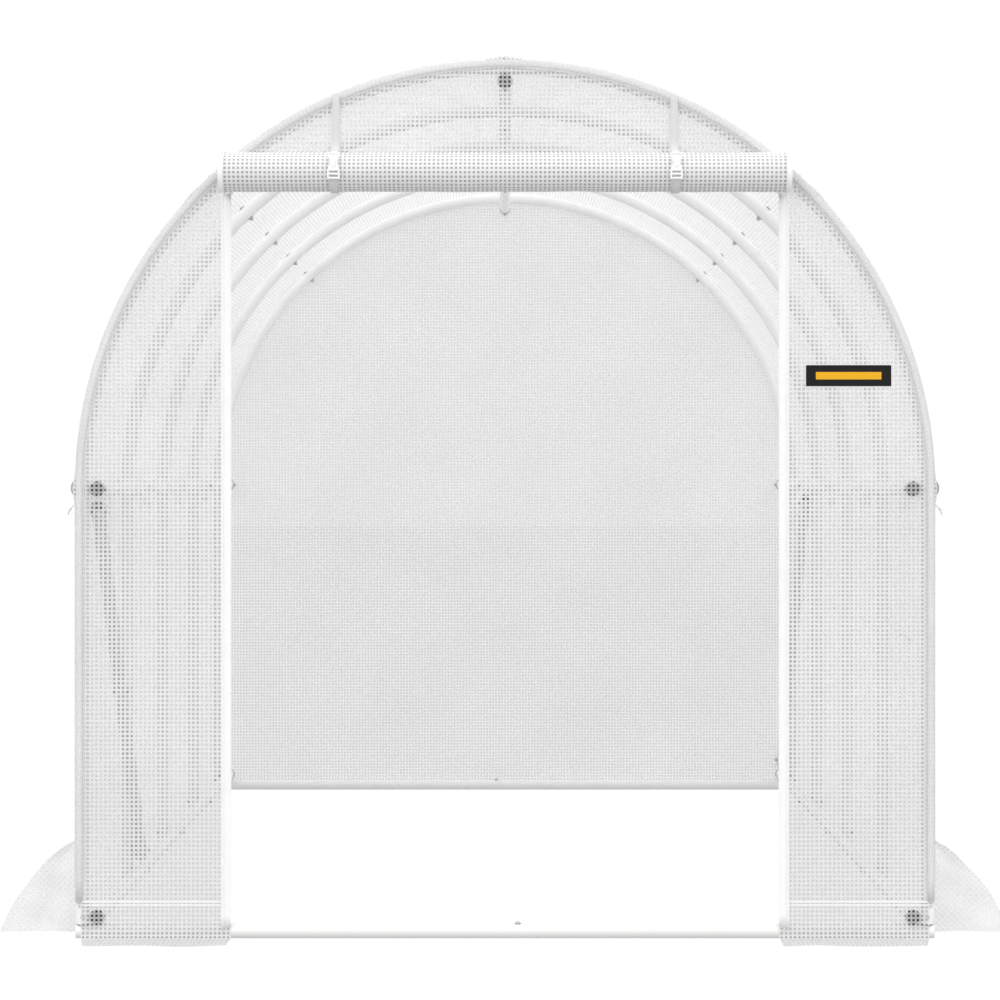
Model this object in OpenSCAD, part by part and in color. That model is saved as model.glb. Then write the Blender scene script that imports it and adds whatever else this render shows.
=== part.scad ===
/* [Frame] */
// Outer diameter of every frame tube
tube_d = 35; // [25:1:42]
// Wall of every frame tube
tube_wall = 1.2; // [0.8:0.1:2.5]
// Width of a hoop between the outer sides of its two legs
hoop_w = 2075; // [1700:5:2500]
// Height of the straight leg, where the half circle of the hoop starts
leg_h = 1087; // [850:1:1350]
// Distance between two neighbouring hoops
bay_l = 900; // [700:10:1100]
// Angle, from the top to each side, at which a hoop is spliced
splice_a = 45; // [35:1:55]
// Length of the swaged end inside the next tube
swage_l = 60; // [40:1:80]
// Play between a swaged end and the tube that takes it
swage_fit = 0.3; // [0.2:0.1:0.5]
// Gap left between pieces that touch on curved faces
seat = 0.3; // [0.2:0.1:0.5]
// Height of a brace's upper end below the hip rail's centre
brace_drop = 40; // [38:1:120]
// Height of a brace's lower end above the ground rail's centre
brace_rise = 38; // [36:1:120]
// Thickness of a rail cap's head
cap_t = 3; // [2:0.5:5]
// How far a rail cap's head is wider than the tube
cap_lip = 2; // [1:0.5:3]
// Length of a cap's plug inside the rail
cap_plug = 15; // [10:1:25]

/* [Cover] */
// Thickness of the cover and the panels
film = 2; // [1.5:0.1:3]
// Height at which the side skirt leaves the wall
skirt_h = 228; // [190:1:270]
// How far the side skirt reaches out from the wall
skirt_out = 198; // [160:1:240]
// Radius of the side skirt's bulge
skirt_r = 563; // [450:1:700]
// Length of hoop left without skirt at both ends
skirt_inset = 120; // [100:1:160]
// Height of the seam where the end panels turn into ground flaps
flap_h = 88; // [70:1:105]
// How far the end panels' ground flaps reach out
flap_out = 134; // [110:1:160]
// Inset of a ground flap's outer side from the cover
flap_inset = 28; // [20:1:60]

/* [Doorway] */
// Width of the doorway
door_w = 1322; // [1100:2:1500]
// Height of the line where the door is sewn on
door_h = 1847; // [1600:1:1900]
// Outer diameter of the rolled-up door
roll_d = 100; // [80:1:120]
// Length of the rolled-up door
roll_l = 1370; // [1200:2:1500]
// Width of the zip tapes beside the doorway
zip_w = 17; // [12:1:25]
// Thickness of the zip tapes
zip_t = 1.5; // [1:0.1:2.5]
// Distance of the two door straps from the middle
strap_x = 408; // [300:1:500]
// Width of the door straps
strap_w = 18; // [12:1:25]
// Thickness of the door straps
strap_t = 2; // [1.5:0.1:3]
// Height at which the door straps are sewn to the top panel
strap_h = 2035; // [1990:1:2040]
// Width, height and thickness of a strap buckle
buckle = [29, 64, 10];

/* [Windows] */
// Width of a window along the wall
window_w = 256; // [200:2:320]
// Height of a window's lower edge
window_z = 705; // [600:1:800]
// Height of a window
window_h = 330; // [250:1:350]
// Overlap of the insect mesh round the window
mesh_lap = 20; // [12:1:30]
// Thickness of the insect mesh
mesh_t = 1; // [0.8:0.1:1.5]
// Diameter of a rolled-up window flap
flap_roll_d = 58; // [45:1:65]
// Length of a rolled-up window flap
flap_roll_l = 310; // [260:2:360]

/* [Label] */
// Width of the plain label
label_w = 208; // [150:1:220]
// Height of the plain label
label_h = 53; // [35:1:70]
// Centre of the label, from the middle and from the ground
label_at = [829, 1360];
// Thickness of the label
label_t = 1; // [0.8:0.1:2]

/* [Hidden] */
$fn = 96;
HOOPS = 5;

tube_r = tube_d / 2;
bore_r = tube_r - tube_wall;
hoop_r = hoop_w / 2 - tube_r;                   // centre line of the half circle
half_l = bay_l * (HOOPS - 1) / 2;               // from the middle to an end hoop
rail_step = tube_d + seat;                      // centre distance of two crossing tubes
rail_x = hoop_r - rail_step;                    // hip and ground rails, inside the legs
ground_z = tube_r + rail_step;                  // ground rails, on top of the cross rails
ridge_z = leg_h + hoop_r - rail_step;
rail_end = half_l + tube_r - seat - cap_t - seat;
cover_in = hoop_w / 2 + seat;                   // inner face of walls and roof
cover_out = cover_in + film;
end_y = half_l + tube_r + seat;                 // inner face of the end panels
face_y = end_y + film;                          // outer face of the end panels
panel_r = cover_in - seat;                      // rim of the end panels
flap_w = cover_out - flap_inset;
strap_gap = strap_t + 2 * seat;
roll_y = face_y + strap_gap + roll_d / 2;       // centre line of the rolled door
tube_color = "white";
film_color = [0.88, 0.90, 0.89];
trim_color = [0.96, 0.96, 0.96];

// Straight tube along +X from its left end, with a bore
module tube(length) {
    rotate([0, 90, 0]) difference() {
        cylinder(r = tube_r, h = length);
        translate([0, 0, -1]) cylinder(r = bore_r, h = length + 2);
    }
}

// Straight swaged end: a step and a thinner tube, along +X from the shoulder
module swage() {
    r = bore_r - swage_fit;
    rotate([0, 90, 0]) difference() {
        union() {
            translate([0, 0, -2 * tube_wall]) cylinder(r = bore_r + tube_wall / 2, h = 2 * tube_wall);
            translate([0, 0, -tube_wall]) cylinder(r = r, h = swage_l + tube_wall);
        }
        translate([0, 0, -3 * tube_wall]) cylinder(r = r - tube_wall, h = swage_l + 6 * tube_wall);
    }
}

// Bent ring of the hoop, from one angle to another, counted from +X, between two tube radii
module bend(from, to, outer, inner) {
    translate([0, 0, leg_h]) rotate([90, 0, 0]) rotate_extrude(angle = to - from, start = from)
        translate([hoop_r, 0]) difference() {
            circle(r = outer);
            circle(r = inner);
        }
}

// Middle bend of hoop i, whose two open ends take the swaged ends of the side tubes
module hoop_crown(i) {
    color(tube_color) translate([0, hoop_y(i), 0])
        bend(90 - splice_a, 90 + splice_a, tube_r, bore_r);
}

// Leg, shoulder bend and swaged end of hoop i, side -1 is left
module hoop_side(i, side) {
    foot = (i == 1 || i == HOOPS) ? tube_d + seat : 0;
    end = 90 - splice_a;
    swage_a = swage_l / hoop_r * 180 / PI;
    step_a = 2 * tube_wall / hoop_r * 180 / PI;
    r = bore_r - swage_fit;
    color(tube_color) translate([0, hoop_y(i), 0]) mirror([side < 0 ? 1 : 0, 0, 0]) union() {
        translate([hoop_r, 0, foot]) difference() {
            cylinder(r = tube_r, h = leg_h - foot);
            translate([0, 0, -1]) cylinder(r = bore_r, h = leg_h - foot + 2);
        }
        bend(0, end, tube_r, bore_r);
        bend(end - step_a, end, bore_r + tube_wall / 2, r - tube_wall);
        bend(end - step_a, end + swage_a, r, r - tube_wall);
    }
}

function hoop_y(i) = -half_l + (i - 1) * bay_l;

// Rail along the tunnel at x and z, between its two end caps
module rail(x, z) {
    color(tube_color) translate([x, -rail_end, z]) rotate([0, 0, 90]) tube(2 * rail_end);
}

// Half of a cross rail, side -1 is left; one half has the swaged end of their joint
module cross_rail(y, side, swaged) {
    reach = hoop_w / 2 - seat;
    color(tube_color) translate([0, y, tube_r]) mirror([side < 0 ? 1 : 0, 0, 0]) {
        tube(reach);
        if (swaged) mirror([1, 0, 0]) swage();
    }
}

// Diagonal tube inside a wall, from the hip of hoop i down to the foot of the next one
module brace(i, side) {
    top = leg_h - brace_drop;
    low = ground_z + brace_rise;
    length = norm([bay_l, top - low]);
    color(tube_color) translate([side * rail_x, hoop_y(i), top])
        rotate([0, 0, 90]) rotate([0, atan2(top - low, bay_l), 0]) tube(length);
}

// Black plugs in all ten rail ends
module rail_end_caps() {
    places = concat([[0, ridge_z]],
        [for (s = [-1, 1]) [s * rail_x, leg_h]],
        [for (s = [-1, 1]) [s * rail_x, ground_z]]);
    color([0.08, 0.08, 0.08]) for (end = [0, 1]) mirror([0, end, 0]) for (p = places)
        translate([p[0], -rail_end - seat, p[1]]) rotate([90, 0, 0]) {
            cylinder(r = tube_r + cap_lip / 2, h = cap_t);
            translate([0, 0, -cap_plug]) cylinder(r = bore_r - seat, h = cap_plug + cap_t / 2);
        }
}

// One quarter of the arched roof sheet over the whole length, side -1 is left
module cover_roof(side) {
    color(film_color) mirror([side < 0 ? 1 : 0, 0, 0])
        translate([0, face_y, leg_h]) rotate([90, 0, 0])
            linear_extrude(height = 2 * face_y) difference() {
                intersection() {
                    circle(r = cover_out);
                    translate([seat / 2, seat / 2]) square(cover_out);
                }
                circle(r = cover_in);
            }
}

function window_y(i) = hoop_y(i) + bay_l * 0.5 + 95;

// Upright wall sheet with four window openings, and a strip down each end hoop
module cover_wall(side) {
    wall_low = skirt_h - 6;
    color(film_color) mirror([side < 0 ? 1 : 0, 0, 0]) difference() {
        translate([cover_in, -face_y, flap_h]) cube([film, 2 * face_y, leg_h - flap_h]);
        translate([cover_in - 1, -face_y + skirt_inset, 0])
            cube([film + 2, 2 * (face_y - skirt_inset), wall_low]);
        for (i = [1:HOOPS - 1])
            translate([cover_in - 1, window_y(i) - window_w / 2, window_z])
                cube([film + 2, window_w, window_h]);
    }
}

// Skirt that flares from the wall to the ground in a bulging curve
module side_skirt(side) {
    inner = cover_out + seat;
    chord = norm([skirt_out, skirt_h]);
    rise = sqrt(skirt_r * skirt_r - chord * chord / 4);
    cx = inner + skirt_out / 2 - rise * skirt_h / chord;
    cz = skirt_h / 2 - rise * skirt_out / chord;
    reach = 2 * (face_y - skirt_inset);
    color(film_color) mirror([side < 0 ? 1 : 0, 0, 0])
        translate([0, reach / 2, 0]) rotate([90, 0, 0]) linear_extrude(height = reach)
            intersection() {
                translate([cx, cz]) difference() {
                    circle(r = skirt_r);
                    circle(r = skirt_r - film);
                }
                translate([inner, 0]) square([skirt_out + film, skirt_h + film]);
            }
}

// Insect mesh behind each window opening of one wall
module window_mesh(side) {
    w = window_w + 2 * mesh_lap;
    h = window_h + 2 * mesh_lap;
    color([0.93, 0.94, 0.93]) mirror([side < 0 ? 1 : 0, 0, 0]) for (i = [1:HOOPS - 1])
        translate([cover_in - seat - mesh_t, window_y(i) - w / 2, window_z - mesh_lap])
            cube([mesh_t, w, h]);
}

// Rolled-up window flaps, tied outside the wall above their windows
module window_rolls(side) {
    x = cover_out + seat + flap_roll_d / 2;
    color(trim_color) for (i = [1:HOOPS - 1])
        translate([side * x, window_y(i) + flap_roll_l / 2, leg_h]) rotate([90, 0, 0])
            cylinder(d = flap_roll_d, h = flap_roll_l);
}

// Outline of an end panel: legs and half circle, from height low to height high
module arch(low, high) {
    intersection() {
        union() {
            translate([0, leg_h]) circle(r = panel_r, $fn = 360);
            translate([-panel_r, 0]) square([2 * panel_r, leg_h]);
        }
        translate([-panel_r, low]) square([2 * panel_r, high - low]);
    }
}

// Flat sheet of an end, its outer face at -face_y
module end_sheet() {
    translate([0, -end_y, 0]) rotate([90, 0, 0]) linear_extrude(height = film) children();
}

// Sheet beside the doorway, side -1 is left
module front_panel_side(side) {
    color(film_color) mirror([side < 0 ? 1 : 0, 0, 0]) end_sheet() intersection() {
        arch(flap_h, door_h - seat);
        translate([door_w / 2, 0]) square([panel_r, door_h]);
    }
}

// Sheet above the doorway
module front_panel_top() {
    color(film_color) end_sheet() arch(door_h, leg_h + panel_r);
}

// Closed sheet at the rear, from the ground flap to the top
module rear_panel() {
    color(film_color) mirror([0, 1, 0]) end_sheet() arch(flap_h, leg_h + panel_r);
}

// Lower part of an end sheet that turns outwards and lies on the ground
module ground_flap(x_from, x_to) {
    color(film_color) {
        translate([x_from, -face_y, 0]) cube([x_to - x_from, film, flap_h - seat]);
        translate([x_from, -face_y - flap_out, 0]) cube([x_to - x_from, flap_out + film, film]);
    }
}

// Door sheet rolled up above the doorway
module door_roll() {
    color(trim_color) translate([-roll_l / 2, -roll_y, door_h]) rotate([0, 90, 0])
        cylinder(d = roll_d, h = roll_l);
}

// Zip tapes up both sides of the doorway
module zip_tapes() {
    low = film + seat;
    color(trim_color) for (s = [-1, 1])
        translate([s * (door_w + zip_w) / 2 - zip_w / 2, -face_y - seat - zip_t, low])
            cube([zip_w, zip_t, door_h - roll_d / 2 - low]);
}

// Webbing sewn to the top panel and looped round the roll
module door_straps() {
    loop_r = roll_d / 2 + seat;
    color([0.80, 0.81, 0.80]) for (s = [-1, 1]) translate([s * strap_x - strap_w / 2, 0, 0]) {
        translate([0, -face_y - seat - strap_t, door_h])
            cube([strap_w, strap_t, strap_h - door_h]);
        translate([0, -roll_y, door_h]) rotate([0, 90, 0]) difference() {
            cylinder(r = loop_r + strap_t, h = strap_w);
            translate([0, 0, -1]) cylinder(r = loop_r, h = strap_w + 2);
        }
    }
}

// Buckles on the front of the straps
module door_buckles() {
    y = roll_y + roll_d / 2 + strap_t + 2 * seat;
    color(trim_color) for (s = [-1, 1])
        translate([s * strap_x - buckle[0] / 2, -y - buckle[2], door_h + 10 - buckle[1] / 2])
            cube([buckle[0], buckle[2], buckle[1]]);
}

// Plain label on the right front panel
module label_plate() {
    color([0.07, 0.07, 0.07])
        translate([label_at[0] - label_w / 2, -face_y - seat - label_t, label_at[1] - label_h / 2])
            cube([label_w, label_t, label_h]);
}

for (i = [1:HOOPS]) {
    hoop_side(i, -1);
    hoop_crown(i);
    hoop_side(i, 1);
}
rail(0, ridge_z);  // ridge_rail
rail(-rail_x, leg_h);  // hip_rail_left
rail(rail_x, leg_h);  // hip_rail_right
rail(-rail_x, ground_z);  // ground_rail_left
rail(rail_x, ground_z);  // ground_rail_right
cross_rail(-half_l, -1, true);  // front_cross_rail_left
cross_rail(-half_l, 1, false);  // front_cross_rail_right
cross_rail(half_l, -1, false);  // rear_cross_rail_left
cross_rail(half_l, 1, true);  // rear_cross_rail_right
brace(1, -1);  // brace_front_left
brace(HOOPS - 1, 1);  // brace_rear_right
rail_end_caps();
cover_roof(-1);  // cover_roof_left
cover_roof(1);  // cover_roof_right
cover_wall(-1);  // cover_wall_left
cover_wall(1);  // cover_wall_right
side_skirt(-1);  // side_skirt_left
side_skirt(1);  // side_skirt_right
window_mesh(-1);  // window_mesh_left
window_mesh(1);  // window_mesh_right
window_rolls(-1);  // window_rolls_left
window_rolls(1);  // window_rolls_right
front_panel_side(-1);  // front_panel_left
front_panel_side(1);  // front_panel_right
front_panel_top();
rear_panel();
ground_flap(-flap_w, -door_w / 2);  // front_flap_left
ground_flap(door_w / 2, flap_w);  // front_flap_right
mirror([0, 1, 0]) ground_flap(-flap_w, flap_w);  // rear_flap
door_roll();
zip_tapes();
door_straps();
door_buckles();
label_plate();
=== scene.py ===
"""Walk-in polytunnel greenhouse: white steel hoops and rails under clear film with a woven white grid."""

import math

import bmesh
import bpy
import numpy as np
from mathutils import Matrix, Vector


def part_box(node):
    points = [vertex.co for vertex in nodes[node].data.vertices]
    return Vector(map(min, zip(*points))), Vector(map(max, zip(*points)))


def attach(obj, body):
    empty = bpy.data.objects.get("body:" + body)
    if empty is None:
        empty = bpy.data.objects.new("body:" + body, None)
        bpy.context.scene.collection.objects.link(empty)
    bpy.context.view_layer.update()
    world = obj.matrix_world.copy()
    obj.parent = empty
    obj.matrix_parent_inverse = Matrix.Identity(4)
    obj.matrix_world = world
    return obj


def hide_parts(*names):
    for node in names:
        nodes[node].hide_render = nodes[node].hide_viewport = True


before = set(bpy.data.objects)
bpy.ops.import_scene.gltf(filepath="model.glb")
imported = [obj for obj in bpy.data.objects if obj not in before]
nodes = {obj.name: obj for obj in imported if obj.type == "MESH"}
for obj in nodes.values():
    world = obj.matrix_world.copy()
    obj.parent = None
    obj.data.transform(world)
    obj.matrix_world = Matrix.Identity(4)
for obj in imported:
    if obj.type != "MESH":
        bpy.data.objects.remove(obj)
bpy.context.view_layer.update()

# --------------------------------------------------
# Studio: camera straight in front of the doorway at chest height, a bright plain floor, a pale
# surround that is brightest overhead, and two large soft lights.
camera_back = 7.60       # from the front hoop to the lens
camera_height = 1.118
lens_mm = 113.1
frame_shift = (-0.005, -0.024)
floor_reach = 60.0
horizon_light = 1.04
zenith_light = 1.7
lamp_size = 4.0
lamp_aim = (0.0, 0.0, 0.8)
lamps = (("key_light", (-4.0, -9.0, 4.0), 90.0), ("fill_light", (5.0, -8.0, 2.5), 45.0))


def middle(name, axis):
    """Middle of a designed node's box along x, y or z."""
    low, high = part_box(name)
    return float((getattr(low, axis) + getattr(high, axis)) / 2)


def fill(tree, target, inputs):
    """Gives sockets, by name or number, a plain value, a colour of three numbers, or a link."""
    for name, value in inputs.items():
        socket = target.inputs[name]
        if isinstance(value, bpy.types.NodeSocket):
            tree.links.new(value, socket)
        elif socket.type == "RGBA":
            socket.default_value = (*value, 1)
        else:
            socket.default_value = value


def node(tree, kind, inputs=None, **settings):
    """New shader node of a kind, with its settings and its sockets filled."""
    made = tree.nodes.new("ShaderNode" + kind)
    for name, value in settings.items():
        setattr(made, name, value)
    fill(tree, made, inputs or {})
    return made


def ranged(tree, value, low, high, to_low, to_high):
    """Value mapped from one range to another, clamped."""
    return node(tree, "MapRange", {"Value": value, "From Min": low, "From Max": high, "To Min": to_low,
                                   "To Max": to_high}).outputs["Result"]


def new_material(name):
    """Empty node material with its Principled shader; returns material, tree and shader."""
    material = bpy.data.materials.new(name)
    material.use_nodes = True
    return material, material.node_tree, material.node_tree.nodes["Principled BSDF"]


def seen_level(tree, direct, through, other):
    """How bright a plain surround is: one level where the camera sees it directly, one where it is
    seen through film, and one for the light that it gives."""
    path = node(tree, "LightPath")
    seen = ranged(tree, path.outputs["Transparent Depth"], 0.0, 1.0, direct, through)
    return node(tree, "Mix", {0: path.outputs["Is Camera Ray"], 2: other, 3: seen}).outputs[0]


scene = bpy.context.scene
camera_data = bpy.data.cameras.new("camera")
camera_data.lens = lens_mm
camera_data.sensor_width = 36.0
camera_data.shift_x, camera_data.shift_y = frame_shift
camera_data.clip_end = 200.0
camera = bpy.data.objects.new("camera", camera_data)
camera.location = (0.0, middle("hoop_1_crown", "y") - camera_back, camera_height)
camera.rotation_euler = (math.radians(90), 0, 0)
scene.collection.objects.link(camera)
scene.camera = camera
scene.view_settings.view_transform = "Standard"
scene.cycles.transparent_max_bounces = 48
scene.cycles.max_bounces = 10
scene.cycles.diffuse_bounces = 5

floor_material, floor_tree, floor_shader = new_material("studio_floor")
fill(floor_tree, floor_shader, {"Base Color": (0.0, 0.0, 0.0), "Roughness": 0.9, "Specular IOR Level": 0.0,
                                "Emission Color": (1.0, 1.0, 1.0),
                                "Emission Strength": seen_level(floor_tree, 1.02, 0.72, 0.62)})
floor_mesh = bpy.data.meshes.new("studio_floor")
square_turns = ((-1, -1), (1, -1), (1, 1), (-1, 1))
floor_corners = [(x * floor_reach, y * floor_reach, 0) for x, y in square_turns]
floor_mesh.from_pydata(floor_corners, [], [(0, 1, 2, 3)])
floor = bpy.data.objects.new("studio_floor", floor_mesh)
floor.data.materials.append(floor_material)
scene.collection.objects.link(floor)

world = bpy.data.worlds.new("studio")
scene.world = world
world.use_nodes = True
sky = world.node_tree
sky_up = node(sky, "SeparateXYZ", {0: node(sky, "TexCoord").outputs["Generated"]}).outputs["Z"]
sky_light = ranged(sky, sky_up, 0.0, 1.0, horizon_light, zenith_light)
fill(sky, sky.nodes["Background"], {"Color": (1.0, 1.0, 1.0),
                                    "Strength": seen_level(sky, 1.02, 0.80, sky_light)})

for lamp_name, place, power in lamps:
    lamp_data = bpy.data.lights.new(lamp_name, "AREA")
    lamp_data.shape = "SQUARE"
    lamp_data.size = lamp_size
    lamp_data.energy = power
    lamp = bpy.data.objects.new(lamp_name, lamp_data)
    lamp.location = place
    away = np.array(place) - np.array(lamp_aim)
    lamp.rotation_euler = (math.atan2(math.hypot(away[0], away[1]), away[2]), 0,
                           math.atan2(away[1], away[0]) + math.pi / 2)
    scene.collection.objects.link(lamp)

# --------------------------------------------------
# Frame: bent and straight round steel tubes with a smooth white powder coat. The tubes are the designed
# ones; here they only get their coating, with a faint orange peel, dust at the feet and painted shade where
# film covers them. The braces' greyer coat is painted shade too.


def noise(tree, scale, detail=2.0, coords=None):
    """Factor of a noise texture read at Object coordinates, or at the given output."""
    if coords is None:
        coords = node(tree, "TexCoord").outputs["Object"]
    return node(tree, "TexNoise", {"Scale": scale, "Detail": detail, "Vector": coords}).outputs["Fac"]


def blend(tree, share, first, second):
    """Mix of two colours by a share; each colour is three numbers or an output."""
    return node(tree, "Mix", {0: share, 6: first, 7: second}, data_type="RGBA").outputs[2]


def bumped(tree, shader, height, strength, distance):
    """Bump from a height feeds the shader's normal."""
    bump = node(tree, "Bump", {"Strength": strength, "Distance": distance, "Height": height})
    fill(tree, shader, {"Normal": bump.outputs["Normal"]})


def powder_coat(name, light, dark, film_shade_share):
    """Smooth powder coat: slow clouds between two greys, dust that fades out a hand above the ground,
    and a faint orange peel. Seen through one or more layers of film it is darker by a given share: painted
    shade for tubes that the film shades."""
    material, tree, shader = new_material(name)
    height = node(tree, "SeparateXYZ", {0: node(tree, "TexCoord").outputs["Object"]}).outputs["Z"]
    cloud = noise(tree, 9.0, 4.0)
    clean = blend(tree, ranged(tree, cloud, 0.35, 0.7, 0.0, 1.0), (light,) * 3, (dark,) * 3)
    dusty = blend(tree, ranged(tree, height, 0.0, 0.10, 0.55, 0.0), clean, (0.70, 0.695, 0.68))
    layers = node(tree, "LightPath").outputs["Transparent Depth"]
    fill(tree, shader, {
        # painted shade: the colour goes towards black by the given share wherever the tube is seen through
        # film
        "Base Color": blend(tree, ranged(tree, layers, 0.0, 1.0, 0.0, film_shade_share), dusty, (0.0, 0.0, 0.0)),
        "Roughness": ranged(tree, cloud, 0.3, 0.7, 0.24, 0.36), "Coat Weight": 0.2, "Coat Roughness": 0.15})
    bumped(tree, shader, noise(tree, 420.0, 1.0), 0.12, 0.0004)
    return material


white_coat = powder_coat("white_powder_coat", 0.935, 0.895, 0.23)
# The braces get a greyer copy of the white coat: painted shade for the shade they sit in behind the film.
brace_coat_painted_shade = powder_coat("pale_grey_powder_coat_painted_shade", 0.72, 0.64, 0.18)
for node_name, node_object in nodes.items():
    kind = node_name.split("_")[0]
    if kind in ("hoop", "ridge", "hip", "ground", "brace") or "cross_rail" in node_name:
        node_object.data.materials.clear()
        node_object.data.materials.append(brace_coat_painted_shade if kind == "brace" else white_coat)

# --------------------------------------------------
# Bolts: zinc-plated mushroom heads with a washer on the outside of each joint, and a washer and
# hexagon nut on the inside, at every splice, rail crossing and brace end.
tube_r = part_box("front_cross_rail_left")[1].z / 2
leg_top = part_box("cover_wall_left")[1].z
crown_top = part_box("hoop_1_crown")[1].z
hoop_r = crown_top - leg_top - tube_r
hoop_ys = [middle(f"hoop_{number}_crown", "y") for number in range(1, 6)]
bay = hoop_ys[1] - hoop_ys[0]
rail_x = middle("hip_rail_right", "x")
ridge_z = middle("ridge_rail", "z")
ground_z = middle("ground_rail_left", "z")
splice_turn = math.radians(45.0) + 0.030 / hoop_r
swage_x = 0.031          # bolt of the cross rails' swaged joint, off the middle
sunk = 0.0044            # how far the end bolts sit in, to clear the end cloth


def make_piece(name, part, material, smooth=True, solid=False):
    """Mesh from whole arrays: points, the corner indices of all faces in a row, where each face
    starts, and the cloth map in metres for each corner. The piece rides on the root."""
    points, loops, starts, uv = part
    mesh = bpy.data.meshes.new(name)
    mesh.vertices.add(len(points))
    mesh.vertices.foreach_set("co", np.asarray(points, np.float32).ravel())
    mesh.loops.add(len(loops))
    mesh.loops.foreach_set("vertex_index", np.asarray(loops, np.int32))
    mesh.polygons.add(len(starts))
    mesh.polygons.foreach_set("loop_start", np.asarray(starts, np.int32))
    layer = mesh.uv_layers.new(name="cloth")
    layer.data.foreach_set("uv", np.asarray(uv, np.float32).ravel())
    mesh.polygons.foreach_set("use_smooth", np.full(len(starts), smooth))
    mesh.update(calc_edges=True)
    mesh.validate()
    if solid:
        shell = bmesh.new()
        shell.from_mesh(mesh)
        bmesh.ops.recalc_face_normals(shell, faces=shell.faces)
        shell.to_mesh(mesh)
        shell.free()
    mesh.materials.append(material)
    made = bpy.data.objects.new(name, mesh)
    scene.collection.objects.link(made)
    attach(made, "root")
    return made


def tube_faces(rings, sides):
    """Corner indices and face starts of a closed tube: quads between neighbouring rings of points,
    and one face on each end ring."""
    index = np.arange(rings * sides).reshape(rings, sides)
    after = np.roll(index, -1, 1)
    quads = np.stack([index[:-1], after[:-1], after[1:], index[1:]], -1).reshape(-1)
    loops = np.concatenate([quads, index[0][::-1], index[-1]])
    return loops, np.concatenate([np.arange(0, len(quads), 4), [len(quads), len(quads) + sides]])


def lined(x, y, z):
    """Points from three arrays that are stretched to one shape."""
    return np.stack(np.broadcast_arrays(x, y, z), -1)


def turned(profile, sides):
    """Solid of revolution about +Z: each (radius, height) of the profile becomes a ring of points
    at even turns round the axis."""
    profile = np.array(profile, float)[:, None]
    turn = np.arange(sides) * 2 * np.pi / sides
    radius = profile[..., 0]
    points = lined(radius * np.cos(turn), radius * np.sin(turn), profile[..., 1]).reshape(-1, 3)
    loops, starts = tube_faces(len(profile), sides)
    return points, loops, starts, points[loops][:, :2]


def scattered(part, places, axes):
    """Copies of one part, its +Z turned to each axis and moved to each place, as joined arrays."""
    points, loops, starts, uv = part
    places, axes = np.array(places, float), np.array(axes, float)
    axes = axes / np.linalg.norm(axes, axis=1, keepdims=True)
    helper = np.where(np.abs(axes[:, 2:]) < 0.9, [[0.0, 0.0, 1.0]], [[0.0, 1.0, 0.0]])
    across = np.cross(helper, axes)
    across /= np.linalg.norm(across, axis=1, keepdims=True)
    turns = np.stack([across, np.cross(axes, across), axes], 1)
    moved = np.einsum("pi,kij->kpj", points, turns) + places[:, None, :]
    count = np.arange(len(places))[:, None]
    return (moved.reshape(-1, 3), (loops[None] + count * len(points)).ravel(),
            (starts[None] + count * len(loops)).ravel(), np.tile(uv, (len(places), 1)))


def joined(*parts):
    """Several parts as one set of arrays."""
    at = np.cumsum([0] + [len(part[0]) for part in parts])
    corner = np.cumsum([0] + [len(part[1]) for part in parts])
    return (np.concatenate([part[0] for part in parts]),
            np.concatenate([part[1] + shift for part, shift in zip(parts, at)]),
            np.concatenate([part[2] + shift for part, shift in zip(parts, corner)]),
            np.concatenate([part[3] for part in parts]))


zinc_material, zinc_tree, zinc = new_material("zinc_plated_steel")
zinc_cloud = noise(zinc_tree, 260.0, 3.0)
fill(zinc_tree, zinc, {"Base Color": blend(zinc_tree, zinc_cloud, (0.42, 0.43, 0.45), (0.62, 0.63, 0.64)),
                       "Metallic": 1.0, "Roughness": ranged(zinc_tree, zinc_cloud, 0.3, 0.7, 0.28, 0.5)})
bolt_head = turned([(0.0078, 0.0), (0.0078, 0.0012), (0.0066, 0.0012), (0.0064, 0.0026), (0.0052, 0.0042),
                    (0.0032, 0.0052), (0.0008, 0.0055)], 16)
bolt_nut = joined(turned([(0.0078, 0.0), (0.0078, 0.0012), (0.0066, 0.0012), (0.0066, 0.0013)], 16),
                  turned([(0.0060, 0.0012), (0.0063, 0.0018), (0.0063, 0.0056), (0.0056, 0.0062)], 6),
                  turned([(0.0031, 0.0060), (0.0031, 0.0080), (0.0026, 0.0086)], 12))
nuts, heads, axes = [], [], []


def bolt(nut, head, out):
    """One bolt: its nut at the inner point and its head at the outer point, along the axis out."""
    nuts.append(nut)
    heads.append(head)
    axes.append(out)


for hoop_number, y in enumerate(hoop_ys):
    for side in (-1, 1):
        ray = np.array([side * math.cos(splice_turn), 0, math.sin(splice_turn)])
        centre = np.array([0, y, leg_top])
        bolt(centre + ray * (hoop_r - tube_r), centre + ray * (hoop_r + tube_r), ray)
        for z in (leg_top, ground_z) if 0 < hoop_number < 4 else (leg_top,):
            bolt((side * (rail_x - tube_r), y, z), (side * (hoop_r + tube_r), y, z), (side, 0, 0))
    bolt((0, y, ridge_z - tube_r), (0, y, crown_top), (0, 0, 1))
for end in (-1, 1):
    y = end * hoop_ys[-1]
    bolt((-end * swage_x, y, 0.0015), (-end * swage_x, y, 2 * tube_r), (0, 0, 1))
    for side in (-1, 1):
        for z in (leg_top - 0.002, ground_z):
            inner, outer = y - end * tube_r, y + end * (tube_r - sunk)
            bolt((side * hoop_r, inner, z), (side * hoop_r, outer, z), (0, end, 0))
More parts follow.
